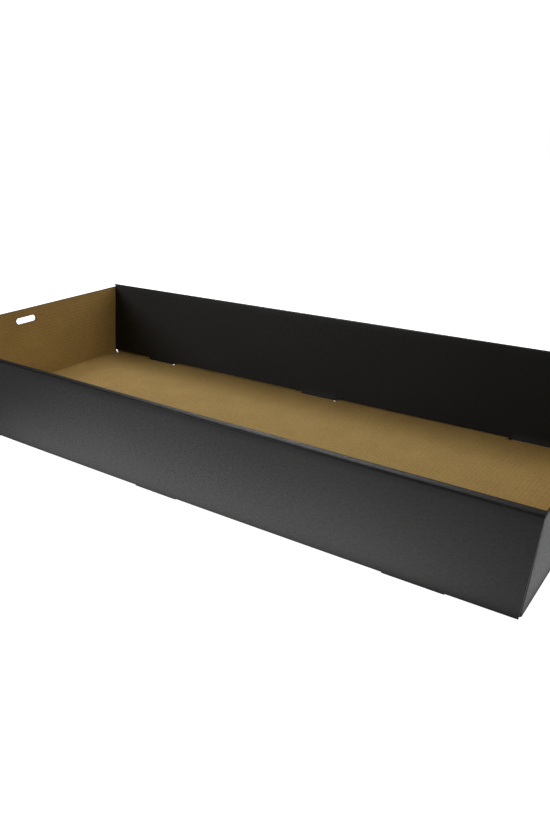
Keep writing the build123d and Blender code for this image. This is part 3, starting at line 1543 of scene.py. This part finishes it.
class FluteRipple(EffectGroup):
    """Washboard of the liner over the flutes, which run across the length of the sheet."""

    name = "flute_ripple"
    inputs = {"Pitch": 0.0032, "Unevenness": 0.4}
    outputs = ("Ripple", "Hollow")
    drift_scale = 14.0
    drift_reach = 0.0018        # how far the flutes wander, in metres
    patch_scale = 38.0

    @classmethod
    def nodes(cls, graph: Graph, source: bpy.types.Node) -> dict[str, bpy.types.NodeSocket]:
        """Wave across the flutes, from -1 to 1, and a mask of its hollows.

        Args:
            graph: Nodes of the group.
            source: Node with the inputs of the group.

        Returns:
            The socket for each output.
        """
        place = graph.blank_place()
        along = graph.add("SeparateXYZ", {"Vector": place}).outputs["X"]
        drift = graph.noise(place, cls.drift_scale, 1.0, flat=True)
        shifted = graph.math("MULTIPLY_ADD", drift, cls.drift_reach, along)
        turns = graph.math("DIVIDE", shifted, source.outputs["Pitch"])
        wave = graph.math("COSINE", graph.math("MULTIPLY", turns, 2 * pi))
        patchy = graph.noise(place, cls.patch_scale, 2.0, flat=True)
        spread = graph.math("MULTIPLY", graph.ramp(patchy, *NOISE_SPAN, -1.0, 1.0),
                            source.outputs["Unevenness"])
        ripple = graph.math("MULTIPLY", wave, graph.math("ADD", spread, 1.0))
        return {"Ripple": ripple, "Hollow": graph.ramp(ripple, -1.0, 0.2, 1.0, 0.0)}


class PaperFibres(EffectGroup):
    """Fibres and clouds of a recycled paper, drawn out along the length of the sheet."""

    name = "paper_fibres"
    inputs = {"Seed": 0.0, "Fibre Scale": 900.0}
    outputs = ("Grain", "Dark Fibres", "Light Fibres", "Mottle", "Clouds")
    drawn = (0.38, 1.0, 1.0)            # scales that draw the grain out along the sheet
    strayed = (0.25, 1.0, 1.0)
    stray_turn = (0.0, 0.0, 0.5)        # the dark fibres lie a little across the grain
    stray_scale = 260.0
    stray_reach = (0.0016, 0.0016, 0.0016)
    dark_scale = 1150.0
    light_scale = 1700.0
    mottle_scale = 430.0
    cloud_scale = 34.0

    @classmethod
    def nodes(cls, graph: Graph, source: bpy.types.Node) -> dict[str, bpy.types.NodeSocket]:
        """Fine grain, two sets of single fibres, mottling and broad clouds, each from 0 to 1.

        Args:
            graph: Nodes of the group.
            source: Node with the inputs of the group.

        Returns:
            The socket for each output.
        """
        shift = graph.add("CombineXYZ", {"Z": source.outputs["Seed"]}).outputs[0]
        place = graph.vector("ADD", graph.blank_place(), shift)
        drawn = graph.add("Mapping", {"Vector": place, "Scale": cls.drawn}).outputs[0]
        turned = graph.add("Mapping", {"Vector": place, "Rotation": cls.stray_turn,
                                       "Scale": cls.strayed}).outputs[0]
        warp = graph.add("TexNoise", {"Vector": place, "Scale": cls.stray_scale, "Detail": 1.0})
        stray = graph.vector("MULTIPLY", warp.outputs["Color"], cls.stray_reach)
        dark = graph.noise(graph.vector("ADD", turned, stray), cls.dark_scale, 1.5)
        light = graph.noise(drawn, cls.light_scale, 1.0)
        mottle = graph.noise(place, cls.mottle_scale, 2.0, 0.6)
        return {
            "Grain": graph.noise(drawn, source.outputs["Fibre Scale"], 3.0, 0.65),
            "Dark Fibres": graph.ramp(dark, 0.60, 0.70),
            "Light Fibres": graph.ramp(light, 0.62, 0.74),
            "Mottle": graph.ramp(mottle, 0.35, 0.65),
            "Clouds": graph.noise(place, cls.cloud_scale, 5.0, 0.6),
        }


class FoldWear(EffectGroup):
    """Rubbed and stretched paper on the bends of the folds."""

    name = "fold_wear"
    inputs = {"Amount": 0.5}
    outputs = ("Bend", "Worn")
    spot_scale = 420.0
    run_scale = 21.0
    spot_share = 0.6
    run_share = 0.4

    @classmethod
    def nodes(cls, graph: Graph, source: bpy.types.Node) -> dict[str, bpy.types.NodeSocket]:
        """Mask of the bends, and of the spots on them where the surface is rubbed through.

        Args:
            graph: Nodes of the group.
            source: Node with the inputs of the group.

        Returns:
            The socket for each output.
        """
        bend, place = graph.mask(CREASE_MASK), graph.blank_place()
        spots = graph.noise(place, cls.spot_scale, 4.0, 0.7)
        runs = graph.noise(place, cls.run_scale, 2.0)
        both = graph.math("ADD", graph.math("MULTIPLY", spots, cls.spot_share),
                          graph.math("MULTIPLY", runs, cls.run_share))
        worn = graph.math("MULTIPLY", graph.ramp(both, 0.52, 0.66), bend)
        return {"Bend": bend, "Worn": graph.math("MULTIPLY", worn, source.outputs["Amount"])}


def new_material(name: str) -> tuple[bpy.types.Material, Graph, bpy.types.Node]:
    """Empty material with a Principled shader.

    Args:
        name: Name of the material.

    Returns:
        The material, its graph and its shader node.
    """
    material = bpy.data.materials.new(name)
    material.use_nodes = True
    graph = Graph(material.node_tree)
    graph.tree.nodes.clear()
    shader = graph.add("BsdfPrincipled")
    graph.add("OutputMaterial", {"Surface": shader.outputs[0]})
    return material, graph, shader


@dataclass(frozen=True)
class PrintedLiner:
    """Black printed side: matt ink on paper, with the flutes just telling through."""

    ink: Colour = (0.0056, 0.0054, 0.0052, 1.0)
    faded_ink: Colour = (0.0078, 0.0075, 0.0072, 1.0)
    fleck: Colour = (0.016, 0.015, 0.015, 1.0)
    fleck_share: float = 0.5
    rubbed: Colour = (0.034, 0.029, 0.023, 1.0)
    wear: float = 0.30
    seed: float = 3.7
    unevenness: float = 0.5         # of the washboard
    roughness: float = 0.52
    roughness_spread: float = 0.10
    pressed_gloss: float = 0.16     # how much smoother the pressed folds are
    refraction: float = 1.37
    ripple_depth: float = 0.000004
    mottle_depth: float = 0.000026
    grain_depth: float = 0.000022

    def material(self) -> bpy.types.Material:
        """The material of the printed side.

        Returns:
            The material.
        """
        material, graph, shader = new_material("black_printed_liner")
        ripple = graph.group(FluteRipple, {"Unevenness": self.unevenness})
        paper = graph.group(PaperFibres, {"Seed": self.seed})
        folds = graph.group(FoldWear, {"Amount": self.wear})
        cloud = graph.ramp(paper["Clouds"], 0.32, 0.68)
        uneven = graph.math("MULTIPLY_ADD", paper["Mottle"], 0.5,
                            graph.math("MULTIPLY", cloud, 0.5))
        colour = graph.mix(uneven, self.ink, self.faded_ink)
        fleck = graph.math("MULTIPLY", paper["Light Fibres"], self.fleck_share)
        colour = graph.mix(fleck, colour, self.fleck)
        colour = graph.mix(folds["Worn"], colour, self.rubbed)
        gloss = graph.ramp(paper["Grain"], *NOISE_SPAN, self.roughness + self.roughness_spread,
                           self.roughness - self.roughness_spread)
        pressed = graph.math("MULTIPLY", folds["Bend"], self.pressed_gloss)
        normal = graph.bump(self.ripple_depth, ripple["Ripple"])
        normal = graph.bump(self.mottle_depth, paper["Mottle"], normal)
        normal = graph.bump(self.grain_depth, paper["Grain"], normal)
        graph.feed(shader, {
            "Base Color": colour,
            "Roughness": graph.math("SUBTRACT", gloss, pressed),
            "IOR": self.refraction,
            "Normal": normal,
        })
        return material


@dataclass(frozen=True)
class KraftLiner:
    """Bare kraft side: warm brown paper with fibres, clouds and the washboard of the flutes, with
    painted shade in the washboard's hollows and along the cuts.
    """

    paper: Colour = (0.615, 0.397, 0.118, 1.0)
    shade: Colour = (0.521, 0.331, 0.093, 1.0)
    # colour of the dark fibres, and of the painted shade in the washboard's hollows
    dark_fibre: Colour = (0.27, 0.155, 0.044, 1.0)
    light_fibre: Colour = (0.74, 0.50, 0.20, 1.0)
    # colour of the painted shade along the cuts
    painted_cut_shade: Colour = (0.25, 0.140, 0.036, 1.0)
    cut_shade_amount: float = 0.55           # how far the painted shade darkens the paper along the cuts, where the slots and gaps beside them lie in shadow
    wear: float = 0.35
    seed: float = 0.0
    unevenness: float = 0.45        # of the washboard
    # strength of the painted shade in the washboard's hollows
    hollow_painted_shade: float = 0.16
    mottle_shade: float = 0.20
    grain_shade: float = 0.22
    dark_share: float = 0.45
    light_share: float = 0.5
    roughness: float = 0.86
    roughness_spread: float = 0.05
    ripple_depth: float = 0.000026
    grain_depth: float = 0.000030

    def material(self) -> bpy.types.Material:
        """The material of the kraft side.

        Returns:
            The material.
        """
        material, graph, shader = new_material("kraft_liner")
        ripple = graph.group(FluteRipple, {"Unevenness": self.unevenness})
        paper = graph.group(PaperFibres, {"Seed": self.seed})
        folds = graph.group(FoldWear, {"Amount": self.wear})
        colour = graph.mix(graph.ramp(paper["Clouds"], *NOISE_SPAN), self.paper, self.shade)
        grain = paper["Grain"]
        for share in (
            # painted shade in the washboard's hollows
            graph.math("MULTIPLY", ripple["Hollow"], self.hollow_painted_shade),
            graph.math("MULTIPLY", paper["Mottle"], self.mottle_shade),
            graph.ramp(grain, 0.38, 0.62, self.grain_shade, 0.0),
            graph.math("MULTIPLY", paper["Dark Fibres"], self.dark_share),
        ):
            colour = graph.mix(share, colour, self.dark_fibre)
        light = graph.math("MULTIPLY", paper["Light Fibres"], self.light_share)
        colour = graph.mix(light, colour, self.light_fibre)
        colour = graph.mix(folds["Worn"], colour, self.light_fibre)
        # painted shade along the cuts, where the slots and gaps beside them lie in shadow
        shaded_beside_cut = graph.ramp(graph.mask(CUT_MASK), 0.5, 0.95, 0.0, self.cut_shade_amount)
        normal = graph.bump(self.ripple_depth, ripple["Ripple"])
        graph.feed(shader, {
            "Base Color": graph.mix(shaded_beside_cut, colour, self.painted_cut_shade),
            "Roughness": graph.ramp(grain, *NOISE_SPAN, self.roughness + self.roughness_spread,
                                    self.roughness - self.roughness_spread),
            "Normal": graph.bump(self.grain_depth, grain, normal),
        })
        return material


@dataclass(frozen=True)
class CutBoard:
    """Freshly cut edge of the board: brown liners and medium, a little fluffy."""

    paper: Colour = (0.25, 0.155, 0.065, 1.0)
    crushed: Colour = (0.12, 0.075, 0.032, 1.0)
    inked: Colour = (0.120, 0.118, 0.115, 1.0)
    seed: float = 7.3
    fibre_scale: float = 1500.0
    dark_share: float = 0.6
    broken: float = 0.25            # how ragged the ink's border is
    roughness: Pair = (0.95, 0.85)
    fluff_depth: float = 0.00006

    def material(self) -> bpy.types.Material:
        """The material of the cut edges.

        Returns:
            The material.
        """
        material, graph, shader = new_material("cut_board_edge")
        paper = graph.group(PaperFibres, {"Seed": self.seed, "Fibre Scale": self.fibre_scale})
        grain = paper["Grain"]
        colour = graph.mix(graph.ramp(paper["Clouds"], 0.35, 0.65), self.paper, self.crushed)
        dark = graph.math("MULTIPLY", paper["Dark Fibres"], self.dark_share)
        colour = graph.mix(dark, colour, self.crushed)
        ragged = graph.ramp(grain, *NOISE_SPAN, -self.broken, self.broken)
        ink = graph.ramp(graph.math("ADD", graph.mask(INK_MASK), ragged), 0.35, 0.65)
        graph.feed(shader, {
            "Base Color": graph.mix(ink, colour, self.inked),
            "Roughness": graph.ramp(grain, *NOISE_SPAN, *self.roughness),
            "Normal": graph.bump(self.fluff_depth, grain),
        })
        return material


@dataclass(frozen=True)
class GlowPool:
    """Soft pool of light on the floor, as the tray sees it."""

    centre: Pair
    reach: Pair
    strength: float
    steepness: float = 4.0      # how flat the pool is in its middle and how short its border

    def socket(self, graph: Graph, across: bpy.types.NodeSocket,
               away: bpy.types.NodeSocket) -> bpy.types.NodeSocket:
        """Glow of the pool at a place on the floor.

        Args:
            graph: Nodes of the floor's material.
            across: The place's x.
            away: The place's y.

        Returns:
            The strength, even in the middle and falling off softly.
        """
        powers = []
        for place, middle, reach in zip((across, away), self.centre, self.reach):
            share = graph.math("DIVIDE", graph.math("SUBTRACT", place, middle), reach)
            powers.append(graph.math("POWER", graph.math("ABSOLUTE", share), self.steepness))
        fall = graph.math("EXPONENT", graph.math("MULTIPLY", graph.math("ADD", *powers), -1.0))
        return graph.math("MULTIPLY", fall, self.strength)


@dataclass(frozen=True)
class StudioFloor:
    """Plain pale floor, seen evenly bright."""

    paper: Colour = (0.80, 0.80, 0.80, 1.0)
    paper_cloud: Colour = (0.79, 0.79, 0.79, 1.0)
    cloud_scale: float = 2.0
    roughness: float = 0.9
    specular: float = 0.2
    glow: float = 0.03              # what lights the tray away from the pools
    pools: tuple[GlowPool, ...] = (
        GlowPool((0.035, -0.112), (0.235, 0.070), 1.65),
        GlowPool((0.27, 0.120), (0.360, 0.220), 1.0),
    )
    seen_glow: float = 0.97         # what the camera sees
    footprint: Pair = (0.270, 0.112)    # half length and half width of the tray's foot
    contact: float = 0.007          # reach of the contact shadow beyond the footprint
    half_size: float = 40.0

    def material(self) -> bpy.types.Material:
        """The material of the floor.

        Returns:
            The material.
        """
        material, graph, shader = new_material("pale_floor")
        place = graph.add("TexCoord").outputs["Object"]
        cloud = graph.noise(place, self.cloud_scale, 2.0)
        x, y, _ = graph.add("SeparateXYZ", {"Vector": place}).outputs
        past = graph.math("MAXIMUM", *(
            graph.math("SUBTRACT", graph.math("ABSOLUTE", way), half)
            for way, half in zip((x, y), self.footprint)
        ))
        glow = self.glow
        for pool in self.pools:
            glow = graph.math("ADD", pool.socket(graph, x, y), glow)
        glow = graph.math("MULTIPLY", glow, graph.ramp(past, 0.0, self.contact))
        seen = graph.add("LightPath").outputs["Is Camera Ray"]
        unseen = graph.math("SUBTRACT", 1.0, seen)
        shown = graph.math("MULTIPLY", seen, self.seen_glow)
        graph.feed(shader, {
            "Base Color": graph.mix(graph.ramp(cloud, *NOISE_SPAN), self.paper, self.paper_cloud),
            "Roughness": self.roughness,
            "Specular IOR Level": self.specular,
            "Emission Color": WHITE,
            "Emission Strength": graph.math("MULTIPLY_ADD", glow, unseen, shown),
        })
        return material

    def build(self) -> bpy.types.Object:
        """Lay the floor under the tray.

        Returns:
            The floor's object.
        """
        mesh = bpy.data.meshes.new("studio_floor")
        half = self.half_size
        corners = [(-half, -half, 0), (half, -half, 0), (half, half, 0), (-half, half, 0)]
        mesh.from_pydata(corners, [], [(0, 1, 2, 3)])
        mesh.materials.append(self.material())
        floor = bpy.data.objects.new("studio_floor", mesh)
        bpy.context.scene.collection.objects.link(floor)
        return floor


@dataclass(frozen=True)
class Softbox:
    """White rectangular soft light that faces the tray."""

    name: str
    place: tuple[float, float, float]
    size: Pair
    power: float
    target: tuple[float, float, float] = (0.0, 0.0, 0.03)

    def build(self) -> bpy.types.Object:
        """Hang the light.

        Returns:
            The light's object.
        """
        lamp = bpy.data.lights.new(self.name, "AREA")
        lamp.shape = "RECTANGLE"
        lamp.size, lamp.size_y = self.size
        lamp.energy = self.power
        holder = bpy.data.objects.new(self.name, lamp)
        holder.location = self.place
        away = Vector(self.place) - Vector(self.target)
        holder.rotation_euler = away.to_track_quat("Z", "Y").to_euler()
        bpy.context.scene.collection.objects.link(holder)
        return holder


@dataclass(frozen=True)
class Camera:
    """Camera at the photograph's viewing angle."""

    place: tuple[float, float, float] = (352.683, -441.302, 249.572)
    azimuth: float = radians(35.896)
    elevation: float = radians(22.115)
    roll: float = radians(-1.256)
    focal_pixels: float = 732.194
    image_height: int = 825
    sensor: float = 36.0
    clip: Pair = (0.01, 200.0)

    def build(self) -> bpy.types.Object:
        """Set up the camera and make it the scene's own.

        Returns:
            The camera's object.
        """
        data = bpy.data.cameras.new("camera")
        data.sensor_fit = "VERTICAL"
        data.sensor_height = self.sensor
        data.lens = self.focal_pixels / self.image_height * self.sensor
        data.clip_start, data.clip_end = self.clip
        camera = bpy.data.objects.new("camera", data)
        azimuth, level = self.azimuth, cos(self.elevation)
        back = Vector((sin(azimuth) * level, -cos(azimuth) * level, sin(self.elevation)))
        right = Vector((cos(azimuth), sin(azimuth), 0.0))
        up = back.cross(right)
        turned_right = right * cos(self.roll) + up * sin(self.roll)
        turned_up = up * cos(self.roll) - right * sin(self.roll)
        turn = Matrix((turned_right, turned_up, back)).transposed().to_4x4()
        camera.matrix_world = Matrix.Translation(Vector(self.place) * MILLIMETRE) @ turn
        bpy.context.scene.collection.objects.link(camera)
        bpy.context.scene.camera = camera
        return camera


@dataclass
class Studio:
    """Floor, soft lights, pale surroundings and camera."""

    floor: StudioFloor = field(default_factory=StudioFloor)
    camera: Camera = field(default_factory=Camera)
    backdrop: float = 1.1           # strength of the white surroundings as the camera sees them
    surroundings: float = 0.04      # and as the tray does
    softboxes: tuple[Softbox, ...] = (
        Softbox("softbox_back_left", (-1.1, 1.1, 1.3), (0.5, 0.4), 6.0),
        Softbox("softbox_back_right", (1.3, 1.5, 0.8), (1.0, 0.7), 5.0),
        Softbox("softbox_back_right_high", (1.1, 1.1, 1.3), (1.0, 0.7), 2.5),
        Softbox("softbox_over_left_end", (-0.35, 0.55, 0.85), (0.5, 0.4), 3.1),
        Softbox("softbox_front_left", (-1.2, -1.4, 0.9), (0.9, 0.8), 8.7),
        Softbox("softbox_front_above", (0.0, -1.1, 1.8), (0.9, 0.9), 2.6),
        Softbox("softbox_front_right", (1.5, -1.0, 0.8), (0.8, 0.8), 3.5),
    )

    def build(self) -> None:
        """Set up the studio around the tray."""
        self.floor.build()
        for softbox in self.softboxes:
            softbox.build()
            log.info("%s: %.1f W", softbox.name, softbox.power)
        world = bpy.data.worlds.new("surroundings")
        world.use_nodes = True
        graph = Graph(world.node_tree)
        seen = graph.add("LightPath").outputs["Is Camera Ray"]
        strength = graph.ramp(seen, 0.0, 1.0, self.surroundings, self.backdrop)
        background = world.node_tree.nodes["Background"]
        graph.feed(background, {"Color": WHITE, "Strength": strength})
        bpy.context.scene.world = world
        bpy.context.scene.view_settings.view_transform = "Standard"
        self.camera.build()


def main() -> None:
    """Build the tray and the studio around it."""
    logging.basicConfig(level=logging.INFO, format="%(name)s: %(message)s")
    finishes = [PrintedLiner().material(), KraftLiner().material(), CutBoard().material()]
    FoldedTray().build(finishes)
    Studio().build()


if __name__ == "__main__":
    main()
